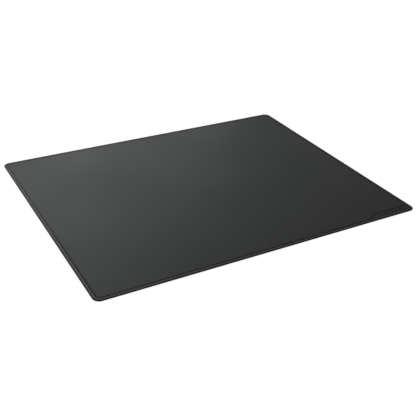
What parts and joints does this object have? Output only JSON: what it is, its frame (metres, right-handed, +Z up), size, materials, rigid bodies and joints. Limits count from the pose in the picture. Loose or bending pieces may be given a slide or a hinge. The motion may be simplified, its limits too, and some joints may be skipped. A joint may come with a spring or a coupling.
{
  "type": "self healing mat",
  "caption": "Thin black rectangular laminated craft and desk mat with rounded corners, a pressed border line and a plain pressed badge.",
  "frame": {"origin": "centre of the underside, on the table", "axes": "+X along the long side, +Y away from the user towards the far long side, +Z up out of the working face"},
  "size_m": [0.65, 0.52, 0.002],
  "materials": {
    "matt_film": "fine leather-like grain, satin-matt",
    "soft_vinyl": "matt, cut edge",
    "stiff_vinyl": "satin, cut edge",
    "backing_foam": "matt, fine textured non-slip foam"
  },
  "bodies": {
    "root": {"non_slip_backing": "backing_foam", "lower_healing_ply": "soft_vinyl", "rigid_core_ply": "stiff_vinyl", "upper_healing_ply": "soft_vinyl", "top_film": "matt_film"}
  },
  "joints": []
}
